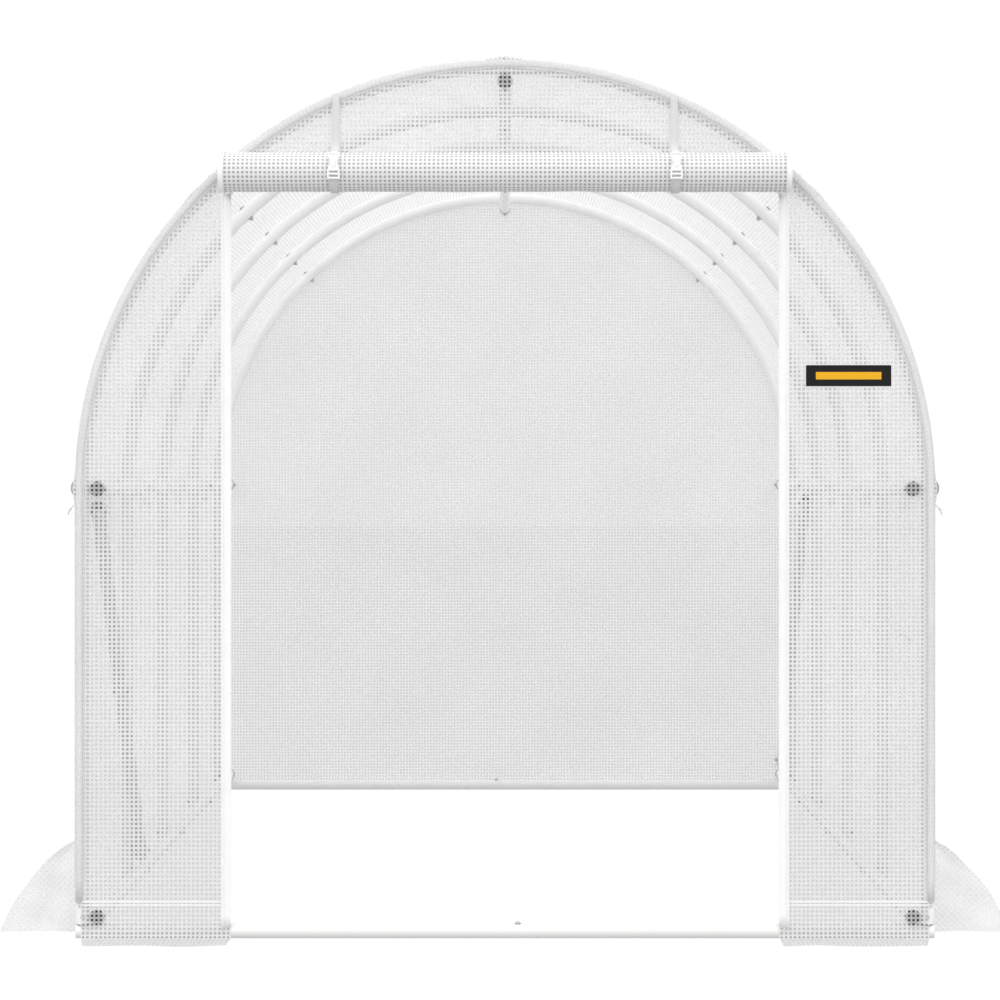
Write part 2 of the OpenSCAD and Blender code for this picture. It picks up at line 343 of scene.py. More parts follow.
for side, name in ((-1, "brace_front_left"), (1, "brace_rear_right")):
    low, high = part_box(name)
    for share in (0.03, 0.5, 0.97):
        y, z = low.y + (high.y - low.y) * share, high.z + (low.z - high.z) * share
        bolt((side * (rail_x - tube_r), y, z), (side * (rail_x + tube_r), y, z), (side, 0, 0))
nuts, axes = np.array(nuts, float), np.array(axes, float)
free = nuts[:, 2] > 0.004      # the cross rails' nuts would be in the ground
part = joined(scattered(bolt_head, heads, axes), scattered(bolt_nut, nuts[free], -axes[free]))
make_piece("frame_bolts", part, zinc_material, smooth=False, solid=True)

# --------------------------------------------------
# Rail end plugs: black moulded caps with a domed, rounded head and a ribbed shank pushed into
# each open end of the ridge, hip and ground rails.
cap_r = tube_r + 0.001
cap_bore = tube_r - 0.0018
cap_head = 0.003
rib_pitch = 0.0032


def toned(name, first, second, roughness, share, strength=0.0, distance=0.0, height=None):
    """Material whose colour runs between two tones by a texture. The same texture, or another one
    for the height, lifts its surface. Both are functions that build the texture in a tree."""
    material, tree, shader = new_material(name)
    factor = share(tree)
    fill(tree, shader, {"Base Color": blend(tree, factor, first, second), "Roughness": roughness})
    if strength:
        bumped(tree, shader, height(tree) if height else factor, strength, distance)
    return material


black_material = toned("black_moulded_plastic", (0.012, 0.012, 0.013), (0.03, 0.03, 0.031), 0.42,
                       lambda tree: noise(tree, 700.0, 2.0), 0.2, 0.0003)
shank = [(cap_bore, 0.0)]
for rib in range(4):
    top = -rib_pitch * rib
    shank += [(cap_bore - 0.0008, top - 0.001), (cap_bore - 0.0008, top - 0.0026), (cap_bore, top - 0.0030)]
cap_profile = shank[::-1] + [
    (cap_r - 0.0004, 0.0), (cap_r, 0.0005), (cap_r, 0.0014), (cap_r - 0.0007, 0.0023),
    (cap_r - 0.003, 0.0028), (cap_r - 0.008, cap_head), (0.004, cap_head)]
cap_back = -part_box("rail_end_caps")[0].y - cap_head
cap_spots = [(0.0, ridge_z)] + [(side * rail_x, z) for side in (-1, 1) for z in (leg_top, ground_z)]
part = scattered(turned(cap_profile, 40), [(x, end * cap_back, z) for end in (-1, 1) for x, z in cap_spots],
                 [(0, end, 0) for end in (-1, 1) for _ in cap_spots])
caps = make_piece("rail_caps", part, black_material, smooth=False, solid=True)
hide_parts("rail_end_caps")

# --------------------------------------------------
# Cover film: two layers of clear polyethylene over an open grid of flat white tapes, about
# eleven millimetres from tape to tape. The same cloth makes the roof, walls, ends and skirts.
tape_pitch = 0.0106
tape_share = 0.45
tape_edge = 0.05
white = (0.90, 0.905, 0.90)


def maths(tree, operation, *values):
    """Math node on outputs or numbers."""
    return node(tree, "Math", dict(enumerate(values)), operation=operation).outputs[0]


def woven_grid_group():
    """Group that turns a map in metres into an open grid of tapes. Along each direction the distance
    to the nearest tape's middle, as a share of the pitch, is compared with half the tape's share, and
    the two results are joined by maximum. Height alternates over and under at the crossings."""
    group = bpy.data.node_groups.new("open_tape_grid", "ShaderNodeTree")
    for name, kind, default in (("Map", "Vector", None), ("Pitch", "Float", tape_pitch),
                                ("Tape", "Float", tape_share), ("Edge", "Float", tape_edge)):
        socket = group.interface.new_socket(name=name, in_out="INPUT", socket_type="NodeSocket" + kind)
        if default is not None:
            socket.default_value = default
    for name in ("Tape Mask", "Height", "Crossing"):
        group.interface.new_socket(name=name, in_out="OUTPUT", socket_type="NodeSocketFloat")
    inside, outside = group.nodes.new("NodeGroupInput"), group.nodes.new("NodeGroupOutput")
    pitch = node(group, "CombineXYZ", {axis: inside.outputs["Pitch"] for axis in "XYZ"})
    scaled = node(group, "VectorMath", {0: inside.outputs["Map"], 1: pitch.outputs[0]}, operation="DIVIDE")
    split = node(group, "SeparateXYZ", {0: scaled.outputs[0]})
    half = maths(group, "MULTIPLY", inside.outputs["Tape"], 0.5)
    masks, rises = [], []
    for axis, other in (("X", "Y"), ("Y", "X")):
        place = maths(group, "FRACT", split.outputs[axis])
        off = maths(group, "ABSOLUTE", maths(group, "SUBTRACT", place, 0.5))
        soft = maths(group, "DIVIDE", maths(group, "SUBTRACT", off, half), inside.outputs["Edge"])
        mask = node(group, "Clamp", {"Value": maths(group, "SUBTRACT", 0.5, soft)}).outputs[0]
        wave = maths(group, "ADD", split.outputs[other], maths(group, "FLOOR", split.outputs[axis]))
        over = maths(group, "COSINE", maths(group, "MULTIPLY", wave, math.pi))
        crown = maths(group, "SUBTRACT", 1.0, maths(group, "DIVIDE", off, half))
        lift = maths(group, "ADD", maths(group, "MULTIPLY", over, 0.25), 0.6)
        lift = maths(group, "ADD", lift, maths(group, "MULTIPLY", crown, 0.3))
        masks.append(mask)
        rises.append(maths(group, "MULTIPLY", mask, lift))
    fill(group, outside, {"Tape Mask": maths(group, "MAXIMUM", *masks),
                          "Height": maths(group, "MAXIMUM", *rises),
                          "Crossing": maths(group, "MULTIPLY", *masks)})
    return group


tape_grid = woven_grid_group()


def cloth_map(tree):
    """The piece's own map, in metres along its cloth."""
    return node(tree, "UVMap", uv_map="cloth").outputs["UV"]


def grid_node(tree, pitch, tape, edge):
    """The tape grid at one pitch, tape share and edge softness, read on the cloth map."""
    grid = tree.nodes.new("ShaderNodeGroup")
    grid.node_tree = tape_grid
    fill(tree, grid, {"Pitch": pitch, "Tape": tape, "Edge": edge, "Map": cloth_map(tree)})
    return grid


def film_cloth(name, tape_alpha, cell_alpha, cell_tone, tape_tone=white, through=0.5):
    """Material of the reinforced film: the grid's mask sets colour, opacity and roughness, and its
    height with a slow ripple sets the relief. The tapes let the share through of the light pass."""
    material, tree, shader = new_material(name)
    grid = grid_node(tree, tape_pitch, tape_share, tape_edge)
    mask = grid.outputs["Tape Mask"]
    cloud = ranged(tree, noise(tree, 3.0, 3.0, cloth_map(tree)), 0.35, 0.65, 0.0, 1.0)
    tape = blend(tree, cloud, tape_tone, tuple(c * 0.955 for c in tape_tone))
    crossing = blend(tree, maths(tree, "MULTIPLY", grid.outputs["Crossing"], 0.35), tape, (0.96, 0.96, 0.96))
    cell = blend(tree, cloud, cell_tone, tuple(c * 0.9 for c in cell_tone))
    fill(tree, shader, {"Base Color": blend(tree, mask, cell, crossing),
                        "Alpha": ranged(tree, mask, 0.0, 1.0, cell_alpha, tape_alpha),
                        "Roughness": ranged(tree, mask, 0.0, 1.0, 0.16, 0.42)})
    ripple = maths(tree, "MULTIPLY", noise(tree, 14.0, 3.0, cloth_map(tree)), 1.6)
    relief = maths(tree, "ADD", maths(tree, "MULTIPLY", grid.outputs["Height"], 0.25), ripple)
    bumped(tree, shader, relief, 0.5, 0.0015)
    glow = node(tree, "BsdfTranslucent", {"Color": tape})
    mixed = node(tree, "MixShader", {0: maths(tree, "MULTIPLY", mask, through), 1: shader.outputs[0],
                                     2: glow.outputs[0]})
    fill(tree, tree.nodes["Material Output"], {"Surface": mixed.outputs[0]})
    return material


cover_material = film_cloth("grid_film_cover", 0.90, 0.14, (0.15, 0.155, 0.152))
# The rolled film's cells are grey and nearly opaque: painted shade of the wound layers beneath them.
rolled_film_painted_shade = film_cloth("grid_film_rolled_painted_shade", 0.95, 0.78, (0.50, 0.505, 0.502), (0.92, 0.925, 0.92), 0.15)
fold_material = film_cloth("grid_film_doubled", 0.97, 0.93, (0.88, 0.885, 0.88), (0.95, 0.955, 0.95), 0.35)


def cloth_part(points, uv, keep=None):
    """Sheet from a grid of points, rows by columns by xyz: each quad joins four neighbours, keep
    drops the quads that are cut away, and unused points are left out."""
    rows, columns = points.shape[:2]
    index = np.arange(rows * columns).reshape(rows, columns)
    quads = np.stack([index[:-1, :-1], index[:-1, 1:], index[1:, 1:], index[1:, :-1]], -1)
    if keep is not None:
        quads = quads[keep]
    quads = quads.reshape(-1, 4)
    used, loops = np.unique(quads.ravel(), return_inverse=True)
    return points.reshape(-1, 3)[used], loops, np.arange(0, len(loops), 4), uv.reshape(-1, 2)[quads.ravel()]


def waves(u, v, length, seed, count=5):
    """Smooth uneven relief between about -1 and 1: a sum of sine waves of nearby lengths in
    seeded directions and phases."""
    rng = np.random.default_rng(seed)
    total = np.zeros(np.broadcast(u, v).shape)
    for _ in range(count):
        turn, phase = rng.uniform(0, 2 * np.pi, 2)
        size = length * rng.uniform(0.6, 1.7)
        total = total + np.sin(2 * np.pi * (u * np.cos(turn) + v * np.sin(turn)) / size + phase)
    return total / math.sqrt(count) * 0.7


def stops(marks, step):
    """Values from the first mark to the last that hit every mark, at most one step apart."""
    marks = sorted(set(np.round(marks, 6)))
    counts = [max(2, int(math.ceil((b - a) / step)) + 1) for a, b in zip(marks, marks[1:])]
    runs = [np.linspace(a, b, count)[:-1] for a, b, count in zip(marks, marks[1:], counts)]
    return np.concatenate(runs + [[marks[-1]]])


# --------------------------------------------------
# Main cover: one cloth from the left wall's foot over the hoops to the right wall's foot. It is
# pulled tight, lifts over the bolt heads and turns round both end hoops to a seam on the ends.
cover_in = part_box("cover_wall_right")[0].x
cover_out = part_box("cover_wall_right")[1].x
cover_mid = (cover_in + cover_out) / 2
face_y = -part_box("front_panel_top")[0].y
panel_y = face_y - (cover_out - cover_in) / 2
skirt_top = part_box("side_skirt_left")[1].z
skirt_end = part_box("side_skirt_left")[1].y
tab_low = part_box("cover_wall_left")[0].z
mesh_lap = 0.020
window_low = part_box("window_mesh_left")[0].z + mesh_lap
window_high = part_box("window_mesh_left")[1].z - mesh_lap
window_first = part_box("window_mesh_left")[0].y + mesh_lap
window_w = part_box("window_mesh_left")[1].y - mesh_lap - 3 * bay - window_first
window_starts = [window_first + bay * number for number in range(4)]
turn_r = 0.004           # rounding where the cloth turns on to the ends
return_w = 0.021         # how far it comes in from the rim on the ends
seam_lap = 0.006         # wall cloth left below the skirt's seam
mesh_step = 0.0185
arch_l = math.pi * cover_mid
wall_l = leg_top - tab_low
turn_l = turn_r * math.pi / 2
straight = panel_y - turn_r
foot_l = skirt_top - seam_lap - tab_low
window_l = (window_low - tab_low, window_high - tab_low)


def across_cover(s):
    """Place and outward direction on the cover's cross-section at arc length s: up the left wall,
    round the half circle and down the right wall."""
    turn = np.clip((s - wall_l) / cover_mid, 0, np.pi)
    out = np.stack([-np.cos(turn), np.sin(turn)], -1)
    rise = np.where(s < wall_l, s - wall_l, np.where(s > wall_l + arch_l, wall_l + arch_l - s, 0.0))
    return out * cover_mid + np.stack([np.zeros_like(rise), leg_top + rise], -1), out


def round_end(t):
    """Place along the tunnel and distance pulled in from the rim at arc length t: straight to the
    turn, a quarter circle, then straight inwards."""
    over = np.maximum(np.abs(t) - straight, 0)
    turn = np.clip(over / turn_r, 0, np.pi / 2)
    y = np.minimum(np.abs(t), straight) + turn_r * np.sin(turn)
    pulled = turn_r * (1 - np.cos(turn)) + np.maximum(over - turn_l, 0)
    return np.sign(t) * (y + 0.0012 * (over > 0)), pulled


def nearest_hoop(y):
    """Share of the way from the nearer hoop to the middle of the bay, 0 to 1."""
    return np.clip(np.abs(y / bay - np.round(y / bay)) * 2, 0, 1)


across_marks = [0, foot_l, *window_l, wall_l]
across_marks += [wall_l + arch_l * k / 8 for k in range(9)] + [2 * wall_l + arch_l - m for m in across_marks]
along_marks = [-straight, straight] + hoop_ys + [-skirt_end, skirt_end]
for start in window_starts:
    along_marks += [start, start + window_w]
s = stops(across_marks, mesh_step)
thirds = np.array([0.33, 0.67, 1.0])
t_end = straight + np.concatenate([turn_l * thirds, turn_l + return_w * thirds])
t = np.concatenate([-t_end[::-1], stops(along_marks, mesh_step), t_end])
section, outward = across_cover(s)
y_line, pulled = round_end(t)
S, T = np.meshgrid(s, t, indexing="ij")
span = np.sin(nearest_hoop(T) * np.pi / 2) ** 2 * (pulled == 0)
overhead = np.clip((S - wall_l) / arch_l, 0, 1)
lift = -0.006 * span * (0.5 + 0.5 * np.sin(np.pi * overhead))
lift += span * (0.0026 * waves(S, T, 0.42, 3) + 0.0013 * waves(S * 0.35, T, 0.11, 4))
lift += 0.0007 * (1 + waves(S, T, 0.16, 5)) * (pulled == 0)
bolt_rises = [(arch_l / 2, 0.0095, 0.034), (0, 0.0075, 0.026), (arch_l, 0.0075, 0.026)]
bolt_rises += [((math.pi / 2 + turn) * cover_mid, 0.006, 0.022) for turn in (-splice_turn, splice_turn)]
for y in hoop_ys:
    for along_arch, height, width in bolt_rises:
        lift += height * np.exp(-((S - wall_l - along_arch) ** 2 + (T - y) ** 2) / width ** 2)
out_by = lift - pulled[None]
points = lined(section[:, None, 0] + outward[:, None, 0] * out_by, y_line[None],
               section[:, None, 1] + outward[:, None, 1] * out_by)
sc, tc = (s[1:] + s[:-1]) / 2, (t[1:] + t[:-1]) / 2
sc = np.minimum(sc, 2 * wall_l + arch_l - sc)
cut = (sc < foot_l)[:, None] & (np.abs(tc) < skirt_end)[None]
for start in window_starts:
    beside = (tc > start) & (tc < start + window_w)
    cut |= ((sc > window_l[0]) & (sc < window_l[1]))[:, None] & beside[None]
cover = make_piece("main_cover", cloth_part(points, np.stack([T, S], -1), ~cut), cover_material)
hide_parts("cover_roof_left", "cover_roof_right", "cover_wall_left", "cover_wall_right")

# --------------------------------------------------
# Side skirts: the wall cloth goes on past a seam and flares out to the ground in a soft bulge,
# with an uneven foot that stands furthest out at both ends. The ends close in a folded corner.
skirt_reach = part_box("side_skirt_right")[1].x - cover_out
skirt_stretch = 1.25     # cloth map's length for the skirt's height
half_root = 0.7071
for side, name in ((-1, "left"), (1, "right")):
    g = np.linspace(0, 1, 26)[:, None]
    y = np.linspace(-skirt_end, skirt_end, 190)[None]
    end = np.exp(-((skirt_end - np.abs(y)) / 0.16) ** 2)
    foot = skirt_reach * (0.60 + 0.40 * end + (1 - end) * 0.085 * waves(y, y * 0, 0.75, 11 + side))
    out = foot * (0.72 * g ** 0.92 + 0.28 * np.sin(g * math.pi / 2))
    drop = (skirt_top - 0.0012) * (1 - g ** 1.28)
    ripple = 0.004 * waves(y, g * 0.2, 0.13, 21 + side) * np.sin(np.pi * g)
    ripple = np.abs(ripple + 0.024 * g * (1 - g) * waves(y, g * 0.2, 0.3, 25 + side))
    inner_x = side * (cover_mid + 0.0015)
    points = lined(inner_x + side * (out + ripple * 0.8), y, drop + ripple * 0.55 + 0.0012)
    uv = np.stack(np.broadcast_arrays(y, skirt_top - g * skirt_top * skirt_stretch), -1)
    corners = []
    for column, tuck in ((0, 0.006), (-1, -0.006)):
        edge_line = points[:, column][:, None]
        inner = edge_line * [0, 1, 1] + [inner_x, 0, 0]
        share = np.linspace(0, 1, 14)[None, :, None]
        gusset = edge_line + (inner - edge_line) * share
        out_x, up = gusset[..., 0] * side, gusset[..., 2]
        gusset[..., 1] += tuck * np.sin(np.pi * share[..., 0]) * (1 + waves(gusset[..., 0], up, 0.12, 27))
        slant = np.stack([(out_x + up) * half_root, (out_x - up) * half_root], -1)
        corners.append(cloth_part(gusset[1:], slant[1:]))
    skirt = make_piece(f"side_skirt_cloth_{name}", cloth_part(points, uv), cover_material)
    fold = make_piece(f"side_skirt_folds_{name}", joined(*corners), fold_material)
    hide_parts(f"side_skirt_{name}")

# --------------------------------------------------
# End panels: flat cloth sewn to the cover's rim. Below a double seam each runs on to the ground
# and lies outwards as a flap. The front has one beside each side of the doorway and one above.
door_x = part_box("front_panel_right")[0].x
door_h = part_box("front_panel_top")[0].z
flap_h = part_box("front_flap_left")[1].z
flap_reach = -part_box("front_flap_left")[0].y
flap_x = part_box("front_flap_right")[1].x
label_x, label_z = middle("label_plate", "x"), middle("label_plate", "z")
rim_r = cover_in - 0.0008
panel_top = leg_top + rim_r - 0.0005
fold_r = 0.012           # bend where a flap meets the ground
upright = flap_h - fold_r
bend_l = fold_r * np.pi / 2
flap_run = upright + bend_l + flap_reach - face_y - fold_r


def end_drop(run):
    """Distance out from the end plane and height at arc length run below the flap's seam: down,
    a quarter turn, then out along the ground."""
    turn = np.clip((run - upright) / fold_r, 0, np.pi / 2)
    out = fold_r * (1 - np.cos(turn)) + np.maximum(run - upright - bend_l, 0)
    return out, flap_h - np.minimum(run, upright) - fold_r * np.sin(turn) + 0.0012


def rim_x(z):
    """Half width of an end panel at height z: straight beside the legs, round above them."""
    above = np.clip(z - leg_top, 0, rim_r)
    return np.sqrt(np.maximum(rim_r ** 2 - above ** 2, 0))


def end_cloth(z_top, x_inner, seed, end, outer_ease):
    """Panel and flap as one sheet between an inner and an outer edge, from z_top down to the flap's
    free edge. Rows follow the cut, columns share the width, and the cloth sags in from the plane in
    slow waves and narrow hanging folds, but not along its edges and behind the label."""
    upper = np.linspace(z_top, flap_h, int((z_top - flap_h) / 0.02) + 1)
    lower = np.concatenate([np.linspace(0, upright, 5), upright + bend_l * np.array([0.25, 0.5, 0.75, 1.0]),
                            np.linspace(upright + bend_l, flap_run, 9)[1:]])
    flap_out, flap_z = end_drop(lower[1:])
    z = np.concatenate([upper, flap_z])
    out = np.concatenate([np.zeros(len(upper)), flap_out])
    run = np.concatenate([z_top - upper, z_top - flap_h + lower[1:]])[:, None]
    outer = np.where(z >= flap_h, rim_x(z), flap_x + 0.012 - outer_ease * out)
    columns = max(12, int((outer.max() - x_inner) / 0.02))
    x = x_inner + (outer - x_inner)[:, None] * np.linspace(0, 1, columns)[None]
    z, out = z[:, None], out[:, None]
    hang = np.clip((z - flap_h) * 6, 0, 1)
    edge = np.clip((outer[:, None] - x - 0.045) * 12, 0, 1)
    edge = edge * np.clip((x - x_inner - 0.025) * 15 + (x_inner == 0), 0, 1)
    sag = 0.0030 * (1 + waves(x, run, 0.5, seed)) + 0.0017 * (1 + waves(x, run * 0.10, 0.085, seed + 1))
    off_label = np.clip(np.maximum(np.abs(x - label_x) - 0.11, np.abs(z - label_z) - 0.035) * 25, 0, 1)
    lying = (out > 0.02) * (0.0012 + 0.0016 * (1 + waves(x, out, 0.16, seed + 2)))
    points = lined(x, end * (panel_y + out - sag * hang * edge * off_label), z + lying)
    return points, np.stack(np.broadcast_arrays(x, run), -1)


def facing(points, uv, want):
    """Sheet from a grid, turned over where its first faces don't look the wanted way."""
    if np.dot(np.cross(points[0, 1] - points[0, 0], points[1, 0] - points[0, 0]), want) < 0:
        points, uv = points[:, ::-1], uv[:, ::-1]
    return cloth_part(points, uv)


def upright_map(points):
    """Cloth map of an upright piece above the doorway: its width, and its drop from the door's head."""
    return points[..., [0, 2]] * [1, -1] + [0, door_h]


for side, name in ((-1, "left"), (1, "right")):
    points, uv = end_cloth(door_h, door_x, 31 + side, -1, 0.16)
    points[..., 0] *= side
    panel = make_piece(f"front_cloth_{name}", facing(points, uv, (0, -1, 0)), cover_material)
    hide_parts(f"front_panel_{name}", f"front_flap_{name}")

z = stops([door_h, panel_top], 0.014)[::-1]
half = rim_x(z)
z, half = z[:, None], half[:, None]
x = half * np.linspace(-1, 1, 90)[None]
clear = 1 - np.exp(-(x ** 2 + (z - ridge_z) ** 2) / 0.06 ** 2)
sag = 0.0018 * clear * (1 + waves(x, z, 0.4, 51)) * np.clip((half - np.abs(x)) * 10, 0, 1)
points = lined(x, sag - panel_y, z)
part = facing(points, upright_map(points), (0, -1, 0))
top_panel = make_piece("front_cloth_top", part, cover_material)
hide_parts("front_panel_top")
webs = []
for side in (-1, 1):
    x = np.linspace(0.590, door_x + 0.006, 24)[:, None]
    droop = 0.002 + 0.060 * np.clip((x - 0.600) / 0.067, 0, 1) ** 1.5
    points = lined(side * x, -panel_y - 0.002, door_h - droop * np.linspace(0, 1, 8)[None])
    webs.append(facing(points, upright_map(points), (0, -1, 0)))
web_piece = make_piece("doorway_corner_webs", joined(*webs), cover_material)

points, uv = end_cloth(panel_top, 0.0, 41, 1, 0.0)
points = np.concatenate([points[:, :0:-1] * [-1, 1, 1], points], 1)
uv = np.concatenate([uv[:, :0:-1] * [-1, 1], uv], 1)
rear = make_piece("rear_cloth", facing(points, uv, (0, 1, 0)), cover_material)
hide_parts("rear_panel", "rear_flap")

# --------------------------------------------------
# Rolled-up door: its sheet wound to a loose roll above the doorway, with the white tape of its
# zips showing as a rim at both ends, and discs of tucked layers closing them, their dark grey painted shade
# between the layers.
roll_low, roll_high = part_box("door_roll")
roll_centre = np.array([middle("door_roll", axis) for axis in "xyz"])
roll_outer = (roll_high.z - roll_low.z) / 2
roll_half = (roll_high.x - roll_low.x) / 2
door_length = 1.80
door_layer = 0.0036      # one turn of the loose roll
rim_half = 0.0065


def rolled(centre, outer_r, layer, length, half, start_turn, way, axis_along_x, step, seed):
    """Sheet wound into a roll: the radius grows evenly with the turn from the core to outer_r, so the
    wound length is the area of the ring divided by the layer. The free end is at start_turn, and way
    is the sign of the turn from there inwards. Columns run along the roll."""
    core = math.sqrt(max(outer_r ** 2 - length * layer / math.pi, 0.003 ** 2))
    turns = (outer_r - core) / layer
    turn = np.linspace(0, turns * 2 * np.pi, int(turns * 44))
    radius = core + layer * turn / (2 * np.pi)
    along = np.linspace(-half, half, int(2 * half / step) + 1)
    steps = np.hypot(np.diff(radius * np.cos(turn)), np.diff(radius * np.sin(turn)))
    run = np.concatenate([[0], np.cumsum(steps)])
    r = radius[:, None] + 0.22 * layer * waves(along[None], turn[:, None] * 0.05, 0.22, seed)
    angle = (start_turn + way * (turn[-1] - turn))[:, None]
    a, b = r * np.cos(angle), r * np.sin(angle)
    points = lined(along[None], a, b) if axis_along_x else lined(a, along[None], b)
    return points + centre, np.stack(np.broadcast_arrays(along[None], run[:, None]), -1), float(run[-1])


def ribs(tree, scale, distortion, **settings):
    """Factor of a wave texture read on the cloth map."""
    return node(tree, "TexWave", {"Scale": scale, "Distortion": distortion, "Vector": cloth_map(tree)},
                **settings).outputs["Fac"]


def roll_ends(centre, radius, half, sides, axis):
    """Both closed ends of a roll: the tucked layers are shallow rings round its axis."""
    marks = np.linspace(radius - 0.001, 0.003, 15)
    profile = [(marks[0], -0.004)] + [(r, 0.0008 * (k % 2)) for k, r in enumerate(marks)]
    axes = np.array([[-1], [1]]) * axis
    return scattered(turned(profile, sides), centre + axes * half, axes)


points, uv, wound = rolled(roll_centre, roll_outer - 0.001, door_layer, door_length, roll_half - 0.008,
                           0, -1, True, 0.02, 61)
points = np.concatenate([points, points[-1:] + [[[0, 0.0008, 0.008]], [[0, 0.0028, 0.020]]]])
uv = np.concatenate([uv, uv[-1:] + [[[0, 0.008]], [[0, 0.020]]]])
part = facing(points, uv, points[0, 0] - roll_centre)
door = make_piece("rolled_door", part, rolled_film_painted_shade)
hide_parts("door_roll")

tape_material = toned("white_woven_tape", (0.86, 0.865, 0.86), (0.93, 0.935, 0.93), 0.7,
                      lambda tree: noise(tree, 30.0, 3.0), 0.35, 0.0004,
                      lambda tree: ribs(tree, 260.0, 1.5, bands_direction="DIAGONAL"))
rims = []
for side in (-1, 1):
    points, uv, _ = rolled(roll_centre, roll_outer + 0.0006, door_layer, door_length, rim_half, 0, -1, True,
                           rim_half, 62)
    points[..., 0] += side * (roll_half - rim_half)
    rims.append(facing(points, uv, points[0, 0] - roll_centre))
door_rims = make_piece("rolled_door_rims", joined(*rims), tape_material)
# The rings stand for the tucked layers' edges; their dark grey is painted shade between the layers.
roll_end_painted_shade = toned("tucked_film_layers_painted_shade", (0.30, 0.305, 0.30), (0.62, 0.625, 0.62), 0.5, lambda tree: ribs(
    tree, 60.0, 1.0, wave_type="RINGS", rings_direction="SPHERICAL"))
part = roll_ends(roll_centre, roll_outer, roll_half - 0.006, 48, (1, 0, 0))
door_ends = make_piece("door_roll_ends", part, roll_end_painted_shade, smooth=False, solid=True)

# --------------------------------------------------
# Door straps: two grey webbing straps stitched to the top panel. Each comes down the panel, passes
# over the front of the roll and under it, and closes in a white side-release buckle at the front.
strap_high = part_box("door_straps")[1]
strap_w = 0.018
strap_t = 0.0014
strap_x = strap_high.x - strap_w / 2
loop_r = roll_outer + 0.0012
buckle_low, buckle_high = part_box("door_buckles")
buckle_z = (buckle_low.z + buckle_high.z) / 2
buckle_half = (buckle_high.z - buckle_low.z) / 2
buckle_y = roll_centre[1] - loop_r - 0.0086
body_stations = ((-0.42, 0.0135), (-0.36, 0.0146), (-0.10, 0.0128), (0.12, 0.0094), (0.40, 0.0108),
                 (0.66, 0.0148), (0.72, 0.0140))


def swept(path, across, outline):
    """Solid along a path: the closed outline is set at each station with its first number along
    across and its second along the normal of path and across. The outline may change per station."""
    path, outline = np.array(path, float), np.array(outline, float)
    across = np.broadcast_to(np.array(across, float), path.shape)
    if outline.ndim == 2:
        outline = np.broadcast_to(outline, (len(path), *outline.shape))
    ahead = np.gradient(path, axis=0)
    ahead /= np.linalg.norm(ahead, axis=1, keepdims=True)
    normal = np.cross(ahead, across)
    normal /= np.linalg.norm(normal, axis=1, keepdims=True)
    points = path[:, None] + outline[..., :1] * across[:, None] + outline[..., 1:] * normal[:, None]
    run = np.concatenate([[0], np.cumsum(np.linalg.norm(np.diff(path, axis=0), axis=1))])
    loops, starts = tube_faces(*outline.shape[:2])
    flat = np.stack(np.broadcast_arrays(outline[..., 0] + outline[..., 1], run[:, None]), -1)
    return points.reshape(-1, 3), loops, starts, flat.reshape(-1, 2)[loops]


def octagon(half_a, half_b, cut):
    """Outline of a rectangle with cut corners."""
    a, b = half_a - cut, half_b - cut
    return [(-a, -half_b), (a, -half_b), (half_a, -b), (half_a, b), (a, half_b), (-a, half_b), (-half_a, b),
            (-half_a, -b)]


def band(width, thick):
    """Outline of a flat band with softened corners."""
    return octagon(width / 2, thick / 2, min(width, thick) * 0.25)


def bar(x, z, half_x, half_z, thick, y):
    """Short rounded bar lying in the front plane, centred at x, z, with its front at y."""
    outline = octagon(half_x, half_z, min(half_x, half_z) * 0.45)
    inner = [(a * 0.86, b * 0.86) for a, b in outline]
    return swept([(x, y + depth, z) for depth in (0, 0.0009, thick - 0.0009, thick)], (1, 0, 0),
                 [inner, outline, outline, inner])


webbing_material = toned("grey_webbing", (0.58, 0.59, 0.59), (0.76, 0.77, 0.77), 0.75,
                         lambda tree: ribs(tree, 160.0, 0.6, bands_direction="Y"), 0.5, 0.0005)
turn = np.linspace(math.radians(75), math.radians(352), 90)
loop_path = np.stack([roll_centre[1] + loop_r * np.cos(turn), roll_centre[2] + loop_r * np.sin(turn)], -1)
drop_z = np.linspace(strap_high.z, roll_centre[2] + loop_r + 0.030, 12)
drop_path = np.stack([np.full(12, -(panel_y + 0.0042)), drop_z], -1)
ease = np.linspace(0, 1, 10)[1:-1, None]
corner = np.array([drop_path[-1][0], loop_path[0][1] + 0.002])
bridge = (1 - ease) ** 2 * drop_path[-1] + 2 * ease * (1 - ease) * corner + ease ** 2 * loop_path[0]
strap_line = np.concatenate([drop_path, bridge, loop_path])
for side, name in ((-1, "left"), (1, "right")):
    path = np.column_stack([np.full(len(strap_line), side * strap_x), strap_line])
    make_piece(f"door_strap_{name}", swept(path, (1, 0, 0), band(strap_w, strap_t)),
                             webbing_material, solid=True)
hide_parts("door_straps")

